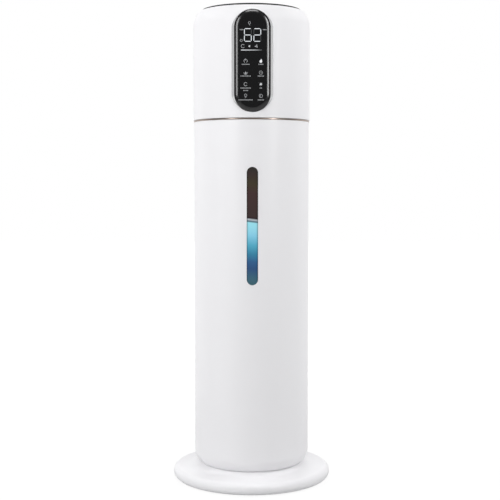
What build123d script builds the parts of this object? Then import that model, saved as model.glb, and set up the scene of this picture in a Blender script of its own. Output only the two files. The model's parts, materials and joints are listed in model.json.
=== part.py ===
from build123d import *
from math import cos, radians, sin
import os

# Cool mist tower humidifier, in millimetres
# +Z is up, the front faces -Y, and the origin is on the floor under the tower's axis

# Foot
FOOT_R = 111.0
FOOT_LIFT = 1.5
FOOT_TOP = 19.5
FOOT_EDGE = 17.4
FOOT_ROUND = 7.6
FOOT_DECK_R = 62.0
FOOT_COLLAR_R = 72.6
FOOT_COLLAR = 4.6
FOOT_DISH_R = 84.0
FOOT_DISH_Z = 19.2
FOOT_DISH_ROUND = 45.0
FOOT_PLATE = 3.5
RIM_IN = 98.0
RIM_LEDGE = 4.0
COVER_TOP = 4.2
RIB = 2.4
HUB_R = 20.0
PAD_R = 9.0
PAD_TOP = 2.5
PAD_RADIUS = 82.0
COVER_SCREW_RADIUS = 84.0

# Water tank and its window
TANK_R = 80.5
TANK_WALL = 3.0
TANK_IN = TANK_R - TANK_WALL
TANK_FLOOR = FOOT_TOP + 5.0
TANK_ROUND = 22.0
TANK_TOP = 503.7
TANK_SCREW_RADIUS = 30.0
TANK_SCREW_ANGLES = (60, 180, 300)
WINDOW_W = 15.2
WINDOW_H = 159.0
WINDOW_Z = 360.9
TRIM_TOP = TANK_TOP + 2.0

# Head casing
HEAD_R = 81.5
HEAD_WALL = 3.0
HEAD_IN = HEAD_R - HEAD_WALL
HEAD_BOTTOM = TRIM_TOP + 0.2
HEAD_TOP = 656.0
SHOULDER_CORNER = HEAD_TOP - 8.4
SHOULDER_ROUND = 28.0
LIP_R = 73.5
SEAT_R = 70.4
SEAT_Z = HEAD_TOP - 2.0
RING_IN = 67.6
RING_R = 69.2
RING_RISE = 2.2
LEDGE_R = 66.0
LEDGE = 2.5
DISH_FLOOR = HEAD_TOP - 6.8
DISH_BEND_R = 38.0
DISH_WALL = 2.4
DISH_RIM_R = 67.0
HEAD_SCREW_RADIUS = 69.0

# Chassis plate that carries everything in the head
PLATE_BOTTOM = HEAD_BOTTOM + 0.7
PLATE_TOP = PLATE_BOTTOM + 3.0
SKIRT_R = 76.6
SKIRT_WALL = 2.8
SKIRT_BOTTOM = PLATE_BOTTOM - 13.5
BOSS_TOP = PLATE_TOP + 18.5
GROMMET_X = 64.5

# Mist duct and the turning nozzle above it
DUCT_R = 20.0
DUCT_BORE = 18.0
DUCT_BOTTOM = PLATE_BOTTOM - 5.5
DUCT_TOP = HEAD_TOP - 4.0
UV_Z = 560.0
NOZZLE_R = 31.0
NOZZLE_WALL = 2.4
NOZZLE_BOTTOM = HEAD_TOP - 5.0
NOZZLE_ROOF = HEAD_TOP + 6.0
NOZZLE_TILT = 12.0
NOZZLE_BORE = DUCT_BORE - 2.6
NOZZLE_SKIRT = HEAD_TOP - 15.0

# Control panel, a flat stadium on the front of the head
PANEL_W = 48.8
PANEL_H = 136.0
PANEL_Z = 580.9
PANEL_FRONT = -84.2
PANEL_BACK = -81.0
PANEL_ROUND = 2.9
BEZEL_TAPER = 26.0
SLEEVE_W = 46.6
SLEEVE_H = 133.6
SLEEVE_WALL = 1.8
SLEEVE_BACK = -72.0
BOARD = 1.6
KEY_X = 10.2
KEY_HEIGHTS = (580.3, 564.8, 549.5, 534.5)
DISPLAY_BOTTOM = 592.0
DISPLAY_TOP = 633.0
PANEL_SCREWS = [(x, PANEL_Z + z) for x in (-19.3, 19.3) for z in (-40.0, 40.0)]

# Air inlet at the rear of the head, and the power inlet under it
INLET_W = 64.0
INLET_H = 52.0
INLET_Z = 585.0
FILTER_IN = 73.3
JACK_Z = 535.0
JACK_SEAT = 80.3

# Main circuit board, upright beside the duct
MAIN_X = 50.1
MAIN_SCREWS = [(y, z) for y in (-30.0, 22.0) for z in (520.0, 580.0)]

# Fan that blows into the tank
FAN_Y = 50.0
FAN_HALF = 22.5
FAN_BORE = 20.3
FAN_BOTTOM = PLATE_TOP
FAN_TOP = FAN_BOTTOM + 15.0
FAN_HOLE = 18.5
BLADES = 7

# Guide rods and the floating atomizer that slides on them
ROD_R = 2.5
ROD_RADIUS = 54.0
ROD_ANGLES = (0, 120, 240)
ROD_BOTTOM = 27.0
ROD_TOP = PLATE_BOTTOM + 0.5
COLLAR_TOP = 59.6
LUG_BOTTOM = 60.0
LUG_TOP = 72.0
FLOAT_R = 45.0
WELL_R = 24.0
FLOAT_BOTTOM = 44.5
FLOAT_TOP = 82.6
FLOAT_WALL = 2.0
WELL_FLOOR = 48.0
LEAD_IN = 3.4
LEAD_OUT = 5.8
LEAD_BOTTOM = 76.0
LEAD_TOP = PLATE_BOTTOM - 10.7

UPRIGHT = (Align.CENTER, Align.CENTER, Align.MIN)
QUARTERS = (0, 90, 180, 270)
DIAGONALS = (45, 135, 225, 315)
FACING_BACK = {"x_dir": (1, 0, 0), "z_dir": (0, 1, 0)}


# Shared shapes

def rod(radius, z0, z1, x=0.0, y=0.0):
    """Upright round bar."""
    return Pos(x, y, z0) * Cylinder(radius, z1 - z0, align=UPRIGHT)


def ring(outer, inner, z0, z1, x=0.0, y=0.0):
    """Upright tube or washer."""
    return rod(outer, z0, z1, x, y) - rod(inner, z0 - 1, z1 + 1, x, y)


def pin(radius, start, direction, length):
    """Round bar from a start point along a direction."""
    return Plane(origin=start, z_dir=direction) * Cylinder(radius, length, align=UPRIGHT)


def block(x0, x1, y0, y1, z0, z1):
    """Rectangular block between its limits."""
    centre = Pos((x0 + x1) / 2, (y0 + y1) / 2, (z0 + z1) / 2)
    return centre * Box(x1 - x0, y1 - y0, z1 - z0)


def slot_bar(width, height, y0, y1, z):
    """Upright stadium that runs along Y."""
    face = Plane(origin=(0, y0, z), **FACING_BACK) * SlotOverall(height, width, rotation=90)
    return extrude(face, y1 - y0)


def window_bar(width, height, corner, y0, y1, z):
    """Rectangle with round corners that runs along Y."""
    face = Plane(origin=(0, y0, z), **FACING_BACK) * RectangleRounded(width, height, corner)
    return extrude(face, y1 - y0)


def hexagon(across, bore, z0, z1, x=0.0, y=0.0):
    """Upright hexagon nut."""
    flats = RegularPolygon(across / 2, 6, major_radius=False)
    return extrude(Pos(x, y, z0) * flats, z1 - z0) - rod(bore, z0 - 1, z1 + 1, x, y)


def turned(points, rounds=()):
    """Half section of (radius, height) corners, some of them rounded, turned about Z."""
    face = make_face(Polyline(*points, close=True))
    for corner, radius in rounds:
        face = fillet(face.vertices().sort_by_distance(corner)[0], radius)
    return revolve(Plane.XZ * face, Axis.Z)


def around(radius, angles):
    """Points on a circle about the axis."""
    return [(radius * cos(radians(a)), radius * sin(radians(a))) for a in angles]


def screw(shaft_r, head_r, start, direction, head, length):
    """Screw whose head ends at the start point, with its shaft running on from there."""
    back = Vector(*start) - Vector(*direction) * head
    return pin(head_r, back, direction, head) + pin(shaft_r, start, direction, length)


def group(pieces):
    """Separate solids that share one node."""
    return Compound([solid for piece in pieces for solid in piece.solids()])


# Foot

def tank_seat():
    """Room for the round bottom of the tank in the foot's collar."""
    room = rod(TANK_R + 0.2, FOOT_TOP, FOOT_TOP + 60)
    return fillet(room.edges().group_by(Axis.Z)[0], TANK_ROUND)


def foot_base():
    under = FOOT_TOP - FOOT_PLATE
    wall_in = RIM_IN - RIM_LEDGE
    collar, dish = FOOT_TOP + FOOT_COLLAR, (FOOT_DISH_R, FOOT_DISH_Z)
    base = turned(
        [
            (0, collar), (FOOT_COLLAR_R, collar), dish, (FOOT_R, FOOT_EDGE), (FOOT_R, FOOT_LIFT),
            (RIM_IN, FOOT_LIFT), (RIM_IN, COVER_TOP), (wall_in, COVER_TOP),
            (wall_in, under - 2), (FOOT_DECK_R - 2, under), (0, under),
        ],
        [(dish, FOOT_DISH_ROUND), ((FOOT_R, FOOT_EDGE), FOOT_ROUND), ((FOOT_R, FOOT_LIFT), FOOT_ROUND)],
    )
    base -= tank_seat()
    base += ring(HUB_R, HUB_R - RIB, COVER_TOP, under)
    for angle in range(15, 375, 30):
        base += Rot(0, 0, angle) * block(HUB_R - 1, wall_in + 1, -RIB / 2, RIB / 2, COVER_TOP, under)
    for x, y in around(COVER_SCREW_RADIUS, QUARTERS):
        base += rod(5.0, COVER_TOP, under, x, y)
        base -= rod(1.45, COVER_TOP - 1, 14.0, x, y)
    for x, y in around(TANK_SCREW_RADIUS, TANK_SCREW_ANGLES):
        base -= rod(2.2, under - 1, FOOT_TOP + 1, x, y)
    return base


def foot_cover():
    cover = rod(RIM_IN - 0.3, FOOT_LIFT, COVER_TOP)
    for x, y in around(PAD_RADIUS, DIAGONALS):
        cover -= rod(PAD_R + 0.2, FOOT_LIFT - 1, PAD_TOP, x, y)
    for x, y in around(COVER_SCREW_RADIUS, QUARTERS):
        cover -= rod(3.5, FOOT_LIFT - 1, 3.0, x, y) + rod(1.6, FOOT_LIFT, COVER_TOP + 1, x, y)
    return cover


def rubber_feet():
    pads = []
    for x, y in around(PAD_RADIUS, DIAGONALS):
        pad = rod(PAD_R, 0, PAD_TOP, x, y)
        pads.append(fillet(pad.edges().group_by(Axis.Z)[0], 0.5))
    return group(pads)


def cover_screws():
    places = around(COVER_SCREW_RADIUS, QUARTERS)
    return group(screw(1.4, 3.2, (x, y, 3.0), (0, 0, 1), 1.3, 10.5) for x, y in places)


def tank_screws():
    places = around(TANK_SCREW_RADIUS, TANK_SCREW_ANGLES)
    return group(screw(2.0, 4.2, (x, y, FOOT_TOP - FOOT_PLATE), (0, 0, 1), 3.2, 17.0) for x, y in places)


# Water tank

def tank_shell():
    shell = turned(
        [
            (0, FOOT_TOP), (TANK_R, FOOT_TOP), (TANK_R, TANK_TOP),
            (TANK_IN, TANK_TOP), (TANK_IN, TANK_FLOOR), (0, TANK_FLOOR),
        ],
        [
            ((TANK_R, FOOT_TOP), TANK_ROUND),
            ((TANK_IN, TANK_FLOOR), TANK_ROUND - TANK_WALL),
            ((TANK_R, TANK_TOP), 0.8),
        ],
    )
    for x, y in around(TANK_SCREW_RADIUS, TANK_SCREW_ANGLES):
        shell += rod(6.0, TANK_FLOOR - 1, 40.0, x, y)
        shell -= rod(2.05, FOOT_TOP - 1, 34.0, x, y)
    return shell - slot_bar(WINDOW_W, WINDOW_H, -TANK_R - 5, -TANK_IN + 8, WINDOW_Z)


def window_lens():
    low, high = WINDOW_Z - WINDOW_H, WINDOW_Z + WINDOW_H
    plug = slot_bar(WINDOW_W - 0.4, WINDOW_H - 0.4, -TANK_R - 5, -70, WINDOW_Z)
    flange = slot_bar(WINDOW_W + 6, WINDOW_H + 6, -TANK_R - 5, -70, WINDOW_Z)
    lens = plug & ring(TANK_R - 0.3, TANK_IN - 2, low, high)
    return lens + (flange & ring(TANK_IN - 0.8, TANK_IN - 2.8, low, high))


def window_seal():
    low, high = WINDOW_Z - WINDOW_H, WINDOW_Z + WINDOW_H
    outline = slot_bar(WINDOW_W + 6, WINDOW_H + 6, -TANK_R - 5, -70, WINDOW_Z)
    outline -= slot_bar(WINDOW_W + 0.6, WINDOW_H + 0.6, -TANK_R - 6, -69, WINDOW_Z)
    return outline & ring(TANK_IN - 0.05, TANK_IN - 0.75, low, high)


def tank_trim_ring():
    outer, inner = TANK_R + 0.4, TANK_IN + 0.2
    corners = [(inner, TANK_TOP), (outer, TANK_TOP), (outer, TRIM_TOP), (inner, TRIM_TOP)]
    return turned(corners, [((outer, TANK_TOP), 0.4), ((outer, TRIM_TOP), 0.4)])


# Head casing

def head_envelope(gap):
    """Outside of the head as a full solid, grown by a gap."""
    corner = (HEAD_R + gap, SHOULDER_CORNER)
    points = [(0, HEAD_BOTTOM), (HEAD_R + gap, HEAD_BOTTOM), corner, (LIP_R + gap, HEAD_TOP), (0, HEAD_TOP)]
    return turned(points, [(corner, SHOULDER_ROUND)])


def head_shell():
    outer = (HEAD_R, SHOULDER_CORNER)
    inner = (HEAD_IN, SHOULDER_CORNER - HEAD_WALL)
    under_ledge = SEAT_Z - LEDGE
    shell = turned(
        [
            (HEAD_R, HEAD_BOTTOM), outer, (LIP_R, HEAD_TOP), (SEAT_R, HEAD_TOP), (SEAT_R, SEAT_Z),
            (LEDGE_R, SEAT_Z), (LEDGE_R, under_ledge), (LIP_R - 0.13, under_ledge), inner,
            (HEAD_IN, HEAD_BOTTOM),
        ],
        [(outer, SHOULDER_ROUND), (inner, SHOULDER_ROUND - HEAD_WALL), ((HEAD_R, HEAD_BOTTOM), 0.8)],
    )
    for angle in DIAGONALS:
        rib = block(HEAD_SCREW_RADIUS, HEAD_IN + 1, -1.5, 1.5, PLATE_TOP, BOSS_TOP)
        boss = rod(4.0, PLATE_TOP, BOSS_TOP, HEAD_SCREW_RADIUS) + rib
        shell += Rot(0, 0, angle) * (boss - rod(1.6, PLATE_TOP - 1, BOSS_TOP - 4, HEAD_SCREW_RADIUS))
    shell -= slot_bar(SLEEVE_W + 0.4, SLEEVE_H + 0.4, -HEAD_R - 5, -60, PANEL_Z)
    shell -= slot_bar(PANEL_W + 0.4, PANEL_H + 0.4, -HEAD_R - 5, PANEL_BACK, PANEL_Z)
    shell -= window_bar(INLET_W, INLET_H, 6.0, 60, HEAD_R + 5, INLET_Z)
    shell -= pin(5.6, (0, 60, JACK_Z), (0, 1, 0), 30)
    return shell - pin(9.2, (0, JACK_SEAT, JACK_Z), (0, 1, 0), 10)


def chassis():
    plate = rod(HEAD_IN - 0.3, PLATE_BOTTOM, PLATE_TOP)
    plate += ring(SKIRT_R, SKIRT_R - SKIRT_WALL, SKIRT_BOTTOM, PLATE_BOTTOM)
    for x, y in around(ROD_RADIUS, ROD_ANGLES):
        plate += rod(6.0, LEAD_TOP + 0.2, PLATE_BOTTOM, x, y)
    for y0 in (-34.0, 18.0):
        plate += block(MAIN_X + BOARD, 56.0, y0, y0 + 8, PLATE_TOP, 586.0)
    for y, z in MAIN_SCREWS:
        plate -= pin(1.0, (MAIN_X, y, z), (1, 0, 0), 5.4)
    for x, y in around(ROD_RADIUS, ROD_ANGLES):
        plate -= rod(ROD_R + 0.05, LEAD_TOP, ROD_TOP + 0.2, x, y)
    for x, y in around(HEAD_SCREW_RADIUS, DIAGONALS):
        plate -= rod(1.7, PLATE_BOTTOM - 1, PLATE_TOP + 1, x, y)
    for x, y in fan_corners():
        plate -= rod(1.35, PLATE_BOTTOM - 1, PLATE_TOP + 1, x, y)
    plate -= rod(DUCT_R + 0.3, PLATE_BOTTOM - 1, PLATE_TOP + 1)
    plate -= rod(FAN_BORE - 0.8, PLATE_BOTTOM - 1, PLATE_TOP + 1, 0, FAN_Y)
    return plate - rod(3.1, PLATE_BOTTOM - 1, PLATE_TOP + 1, GROMMET_X, 0)


def head_seal():
    return ring(SKIRT_R + 0.7, SKIRT_R + 0.05, SKIRT_BOTTOM + 3, SKIRT_BOTTOM + 7)


def head_screws():
    places = around(HEAD_SCREW_RADIUS, DIAGONALS)
    return group(screw(1.55, 3.2, (x, y, PLATE_BOTTOM), (0, 0, 1), 2.4, 16.0) for x, y in places)


def top_trim_ring():
    rim, crest = HEAD_TOP - 0.1, HEAD_TOP + RING_RISE
    corner = (RING_R - 0.2, crest)
    return turned([(RING_IN, rim), (RING_R, rim), corner, (RING_IN, crest)], [(corner, 0.3)])


def top_cover():
    rim = HEAD_TOP - 0.1
    hole, seat_in = DUCT_R + 2.8, LEDGE_R - 0.4
    bend = (DISH_BEND_R, DISH_FLOOR + 0.4)
    under = (DISH_BEND_R, DISH_FLOOR + 0.4 - DISH_WALL)
    return turned(
        [
            (SEAT_R - 0.2, SEAT_Z), (SEAT_R - 0.2, rim), (DISH_RIM_R, rim), bend, (hole, DISH_FLOOR),
            (hole, DISH_FLOOR - DISH_WALL), under, (seat_in, rim - 2.9), (seat_in, SEAT_Z),
        ],
        [(bend, 30.0), (under, 32.0), ((DISH_RIM_R, rim), 4.0)],
    )


# Mist duct and nozzle

def mist_duct():
    duct = ring(DUCT_R, DUCT_BORE, DUCT_BOTTOM, DUCT_TOP)
    duct += ring(27.0, DUCT_BORE, PLATE_TOP, PLATE_TOP + 2)
    return duct - pin(4.2, (-DUCT_R - 5, 0, UV_Z), (1, 0, 0), 12)


def duct_seal():
    return ring(DUCT_R + 2.7, DUCT_R + 0.05, DUCT_TOP - 6, DUCT_TOP - 2)


def roof_cut(height):
    """Everything above the nozzle's roof plane, which falls towards the front."""
    return Pos(0, 0, height) * Rot(NOZZLE_TILT, 0, 0) * Box(120, 120, 60, align=UPRIGHT)


def mist_nozzle():
    cap = rod(NOZZLE_R, NOZZLE_BOTTOM, NOZZLE_ROOF + 10) - roof_cut(NOZZLE_ROOF)
    cap = fillet(cap.edges().sort_by(Axis.Z)[-1], 1.8)
    hollow = rod(NOZZLE_R - NOZZLE_WALL, NOZZLE_BOTTOM - 1, NOZZLE_ROOF + 10)
    cap -= hollow - roof_cut(NOZZLE_ROOF - NOZZLE_WALL)
    cap += ring(NOZZLE_R - 0.5, NOZZLE_BORE, DUCT_TOP + 0.3, DUCT_TOP + 2.3)
    cap += ring(DUCT_BORE - 0.4, NOZZLE_BORE, NOZZLE_SKIRT, DUCT_TOP + 1)
    return cap - Pos(0, -12.5, NOZZLE_BOTTOM + 2) * extrude(SlotOverall(34, 11), 20)


# Control panel

def panel_bezel():
    front = Plane(origin=(0, PANEL_BACK, PANEL_Z), **FACING_BACK)
    skirt = extrude(front * SlotOverall(PANEL_H, PANEL_W, rotation=90), 14, taper=-BEZEL_TAPER)
    bezel = skirt - head_envelope(0.05)
    bezel += slot_bar(SLEEVE_W, SLEEVE_H, PANEL_BACK, SLEEVE_BACK, PANEL_Z)
    inner_w, inner_h = SLEEVE_W - 2 * SLEEVE_WALL, SLEEVE_H - 2 * SLEEVE_WALL
    bezel -= slot_bar(inner_w, inner_h, PANEL_BACK - 1, SLEEVE_BACK + 1, PANEL_Z)
    for x, z in PANEL_SCREWS:
        bezel += pin(3.2, (x, PANEL_BACK + 1, z), (0, 1, 0), SLEEVE_BACK - PANEL_BACK - 1)
        bezel -= pin(1.0, (x, SLEEVE_BACK - 6, z), (0, 1, 0), 7)
    return bezel


def panel_lens():
    lens = slot_bar(PANEL_W, PANEL_H, PANEL_FRONT, PANEL_BACK, PANEL_Z)
    return fillet(lens.faces().sort_by(Axis.Y)[0].edges(), PANEL_ROUND)


def touch_board():
    board = slot_bar(SLEEVE_W - 0.4, SLEEVE_H - 0.4, SLEEVE_BACK, SLEEVE_BACK + BOARD, PANEL_Z)
    for x, z in PANEL_SCREWS:
        board -= pin(1.1, (x, SLEEVE_BACK - 1, z), (0, 1, 0), BOARD + 2)
    return board


def touch_pads():
    gap = SLEEVE_BACK - PANEL_BACK - 0.1
    places = [(side * KEY_X, z) for z in KEY_HEIGHTS for side in (-1, 1)]
    return group(pin(4.5, (x, PANEL_BACK + 0.05, z), (0, 1, 0), gap) for x, z in places)


def display_module():
    body = block(-15, 15, PANEL_BACK + 0.1, SLEEVE_BACK, DISPLAY_BOTTOM, DISPLAY_TOP)
    return fillet(body.edges().filter_by(Axis.Y), 1.5)


def board_screws():
    screws = []
    for x, z in PANEL_SCREWS:
        screws.append(screw(0.95, 2.0, (x, SLEEVE_BACK + BOARD, z), (0, -1, 0), 1.5, 7.0))
    for y, z in MAIN_SCREWS:
        screws.append(screw(0.95, 2.0, (MAIN_X, y, z), (1, 0, 0), 1.5, 5.2))
    return group(screws)


# Main electronics

def main_board():
    board = block(MAIN_X, MAIN_X + BOARD, -36, 30, 512, 590)
    for y, z in MAIN_SCREWS:
        board -= pin(1.1, (MAIN_X - 1, y, z), (1, 0, 0), BOARD + 2)
    return board


def main_board_parts():
    capacitors = [pin(5.0, (MAIN_X, y, z), (-1, 0, 0), 14) for y, z in ((-16, 520), (-4, 520), (8, 520))]
    coil = pin(7.0, (MAIN_X, 18, 540), (-1, 0, 0), 9) - pin(3.0, (MAIN_X - 1, 18, 540), (-1, 0, 0), 10)
    connector = block(MAIN_X - 8, MAIN_X, 4, 24, 556, 563)
    chip = block(MAIN_X - 2, MAIN_X, 4, 14, 571, 581)
    return group(capacitors + [coil, connector, chip])


def heat_sink():
    sink = block(MAIN_X - 4, MAIN_X, -26, 0, 532, 574)
    for step in range(6):
        y = -26 + 4.8 * step
        sink += block(MAIN_X - 16, MAIN_X - 3, y, y + 2, 532, 574)
    return sink


def night_light_board():
    return block(-16, 16, -58, -46, PLATE_BOTTOM - BOARD, PLATE_BOTTOM)


def night_light_lens():
    low = PLATE_BOTTOM - 8
    cap = block(-19, 19, -61, -43, low, PLATE_BOTTOM)
    cap = fillet(cap.edges().filter_by(Axis.Z), 3.0)
    return cap - block(-17, 17, -59, -45, low + 1.5, PLATE_BOTTOM + 1)


def uv_lamp():
    body = block(-27, -20.2, -6, 6, UV_Z - 7, UV_Z + 7)
    return body + pin(3.9, (-20.3, 0, UV_Z), (1, 0, 0), 2.25)


def dc_jack():
    jack = pin(8.8, (0, JACK_SEAT, JACK_Z), (0, 1, 0), 2.0)
    jack = fillet(jack.edges().sort_by(Axis.Y)[-1], 0.6)
    jack += pin(5.5, (0, 66, JACK_Z), (0, 1, 0), 15)
    jack -= pin(2.9, (0, 72.3, JACK_Z), (0, 1, 0), 12)
    return jack + pin(1.0, (0, 72, JACK_Z), (0, 1, 0), 9.3)


def dc_jack_nut():
    nut = hexagon(14.0, 5.55, 0, 3.4)
    return Pos(0, 77.9, JACK_Z) * Rot(90, 0, 0) * nut


# Fan

def fan_corners():
    return [(x, FAN_Y + y) for x in (-FAN_HOLE, FAN_HOLE) for y in (-FAN_HOLE, FAN_HOLE)]


def fan_frame():
    low, high = FAN_Y - FAN_HALF, FAN_Y + FAN_HALF
    frame = block(-FAN_HALF, FAN_HALF, low, high, FAN_BOTTOM, FAN_TOP)
    frame = fillet(frame.edges().filter_by(Axis.Z), 3.0)
    frame -= rod(FAN_BORE, FAN_BOTTOM - 1, FAN_TOP + 1, 0, FAN_Y)
    for angle in QUARTERS:
        strut = block(7, FAN_BORE + 0.7, -1.5, 1.5, FAN_BOTTOM, FAN_BOTTOM + 2)
        frame += Pos(0, FAN_Y, 0) * Rot(0, 0, angle + 45) * strut
    frame += rod(9.0, FAN_BOTTOM, FAN_BOTTOM + 3, 0, FAN_Y)
    frame += ring(3.0, 1.2, FAN_BOTTOM + 2, FAN_BOTTOM + 11.5, 0, FAN_Y)
    for x, y in fan_corners():
        frame -= rod(1.5, FAN_BOTTOM - 1, FAN_TOP + 1, x, y)
    return frame


def fan_stator():
    return ring(8.2, 3.05, FAN_BOTTOM + 3, FAN_BOTTOM + 10, 0, FAN_Y)


def fan_screws():
    return group(screw(1.3, 2.4, (x, y, FAN_TOP), (0, 0, -1), 1.5, 17.5) for x, y in fan_corners())


def fan_rotor():
    hub_bottom, hub_top = FAN_BOTTOM + 4, FAN_BOTTOM + 14
    hub = rod(10.5, hub_bottom, hub_top) - rod(9.2, hub_bottom - 1, hub_top - 1.5)
    for step in range(BLADES):
        blade = Pos(14.8, 0, hub_bottom + 5) * Rot(38, 0, 0) * Box(9.4, 1.2, 10.5)
        hub += Rot(0, 0, step * 360 / BLADES) * blade
    return Pos(0, FAN_Y, 0) * hub


def fan_shaft():
    return rod(1.0, FAN_BOTTOM + 3.4, FAN_BOTTOM + 12.5, 0, FAN_Y)


# Rear air inlet

def inlet_grille():
    plate = window_bar(INLET_W - 0.6, INLET_H - 0.6, 5.7, 60, HEAD_R + 5, INLET_Z)
    plate &= ring(HEAD_R, HEAD_R - 2.6, INLET_Z - INLET_H, INLET_Z + INLET_H)
    for step in range(-4, 5):
        z = INLET_Z + 5.0 * step
        for x0, x1 in ((-28, -1.6), (1.6, 28)):
            plate -= block(x0, x1, 60, HEAD_R + 5, z - 1.3, z + 1.3)
    return plate


def filter_frame():
    low, high = INLET_Z - INLET_H, INLET_Z + INLET_H
    outside = window_bar(INLET_W + 5, INLET_H + 5, 8.0, 50, HEAD_R, INLET_Z)
    pocket = window_bar(INLET_W - 2, INLET_H - 2, 5.0, 50, HEAD_R, INLET_Z)
    frame = outside & ring(HEAD_IN - 0.1, FILTER_IN - 2.4, low, high)
    frame -= pocket & ring(HEAD_R, FILTER_IN - 0.2, low, high)
    for side in (-1, 1):
        opening = window_bar(25.0, INLET_H - 6, 4.0, 50, HEAD_R, INLET_Z)
        frame -= Pos(side * 15.0, 0, 0) * opening
    return frame


def air_filter():
    low, high = INLET_Z - INLET_H, INLET_Z + INLET_H
    pad = window_bar(INLET_W - 2.6, INLET_H - 2.6, 4.8, 50, HEAD_R, INLET_Z)
    return pad & ring(HEAD_IN - 0.4, FILTER_IN, low, high)


def humidity_sensor():
    sensor = block(-5, 5, 67.0, 70.6, 578, 592)
    return fillet(sensor.edges().filter_by(Axis.Y), 1.0)


# Guide rods and lead

def guide_rods():
    return group(rod(ROD_R, ROD_BOTTOM, ROD_TOP, x, y) for x, y in around(ROD_RADIUS, ROD_ANGLES))


def guide_foot():
    star = rod(9.0, 30.0, 34.0)
    for angle in ROD_ANGLES:
        arm = block(0, ROD_RADIUS, -4, 4, 30.0, 34.0) + rod(6.5, 30.0, 34.0, ROD_RADIUS)
        star += Rot(0, 0, angle) * (arm - rod(ROD_R + 0.05, 29, 35, ROD_RADIUS))
    return star


def rod_nuts():
    return group(hexagon(9.0, ROD_R + 0.05, 26.0, 30.0, x, y) for x, y in around(ROD_RADIUS, ROD_ANGLES))


def rod_collars():
    places = around(ROD_RADIUS, ROD_ANGLES)
    return group(ring(5.5, ROD_R + 0.05, COLLAR_TOP - 9.6, COLLAR_TOP, x, y) for x, y in places)


def lead_grommet():
    low, high = PLATE_BOTTOM - 1.5, PLATE_TOP + 1.5
    grommet = rod(3.0, low, high, GROMMET_X, 0)
    for z0 in (low, PLATE_TOP):
        grommet += rod(4.4, z0, z0 + 1.5, GROMMET_X, 0)
    return grommet - rod(1.6, low - 1, high + 1, GROMMET_X, 0)


def float_lead():
    return ring(LEAD_OUT, LEAD_IN, LEAD_BOTTOM, LEAD_TOP, ROD_RADIUS, 0)


# Floating atomizer

def float_hull():
    well_in = WELL_R + FLOAT_WALL
    rim = FLOAT_TOP - 0.1
    hull = turned(
        [
            (WELL_R, FLOAT_BOTTOM), (FLOAT_R, FLOAT_BOTTOM), (FLOAT_R, rim), (FLOAT_R - FLOAT_WALL, rim),
            (FLOAT_R - FLOAT_WALL, FLOAT_BOTTOM + FLOAT_WALL), (well_in, FLOAT_BOTTOM + FLOAT_WALL),
            (well_in, rim), (WELL_R, rim),
        ],
        [((FLOAT_R, FLOAT_BOTTOM), 8.0), ((FLOAT_R - FLOAT_WALL, FLOAT_BOTTOM + FLOAT_WALL), 6.0)],
    )
    hull += ring(WELL_R + 0.5, 13.2, WELL_FLOOR, WELL_FLOOR + 2)
    for angle in ROD_ANGLES:
        lug = rod(7.0, LUG_BOTTOM, LUG_TOP, ROD_RADIUS)
        lug += block(FLOAT_R - 1, ROD_RADIUS, -5, 5, LUG_BOTTOM, LUG_TOP)
        hull += Rot(0, 0, angle) * (lug - rod(4.0, LUG_BOTTOM - 1, LUG_TOP + 1, ROD_RADIUS))
    for x, y in clamp_places():
        hull -= rod(1.1, WELL_FLOOR - 1, WELL_FLOOR + 3, x, y)
    for x, y in around(21.4, range(30, 390, 60)):
        hull -= rod(1.3, WELL_FLOOR - 1, WELL_FLOOR + 3, x, y)
    return hull


def float_lid():
    return ring(FLOAT_R, WELL_R, FLOAT_TOP, FLOAT_TOP + 2)


def float_bushes():
    places = around(ROD_RADIUS, ROD_ANGLES)
    return group(ring(3.95, 2.9, LUG_BOTTOM, LUG_TOP, x, y) for x, y in places)


def splash_guard():
    guard = ring(WELL_R - 0.2, WELL_R - 2, WELL_FLOOR + 4, 110.0)
    return guard + ring(30.0, WELL_R - 1, FLOAT_TOP + 2, FLOAT_TOP + 3.6)


def clamp_places():
    return around(16.3, (90, 210, 330))


def atomizer_can():
    can = rod(15.0, 36.0, WELL_FLOOR) + rod(19.5, WELL_FLOOR - 1.5, WELL_FLOOR)
    can -= rod(13.2, 37.6, WELL_FLOOR + 1)
    for x, y in clamp_places():
        can -= rod(1.1, WELL_FLOOR - 3, WELL_FLOOR + 1, x, y)
    return can


def atomizer_board():
    return rod(12.8, 40.0, 40.0 + BOARD)


def atomizer_disc():
    return rod(10.0, WELL_FLOOR + 0.4, WELL_FLOOR + 1.6)


def disc_seal():
    return ring(13.1, 10.1, WELL_FLOOR + 0.1, WELL_FLOOR + 2)


def disc_clamp():
    clamp = ring(19.0, 8.5, WELL_FLOOR + 2, WELL_FLOOR + 3.5)
    for x, y in clamp_places():
        clamp -= rod(1.1, WELL_FLOOR + 1, WELL_FLOOR + 5, x, y)
    return clamp


def clamp_screws():
    top = WELL_FLOOR + 3.5
    return group(screw(1.0, 1.9, (x, y, top), (0, 0, -1), 1.2, 5.4) for x, y in clamp_places())


def water_sensor_pins():
    return group(rod(0.7, WELL_FLOOR + 2, 60.0, x, y) for x, y in around(20.4, (0, 180)))


def lead_clamp():
    foot = ring(LEAD_OUT, LEAD_IN, LUG_TOP, LEAD_BOTTOM, ROD_RADIUS, 0)
    post = block(FLOAT_R + 0.4, ROD_RADIUS - LEAD_OUT - 0.4, -3, 3, LUG_TOP, FLOAT_TOP + 6)
    bridge = block(ROD_RADIUS - LEAD_OUT - 2, ROD_RADIUS - LEAD_IN - 0.6, -3, 3, LUG_TOP, LEAD_BOTTOM)
    entry = block(36.0, FLOAT_R + 1, -3, 3, FLOAT_TOP + 2, FLOAT_TOP + 6)
    return foot + bridge + post + entry


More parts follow.
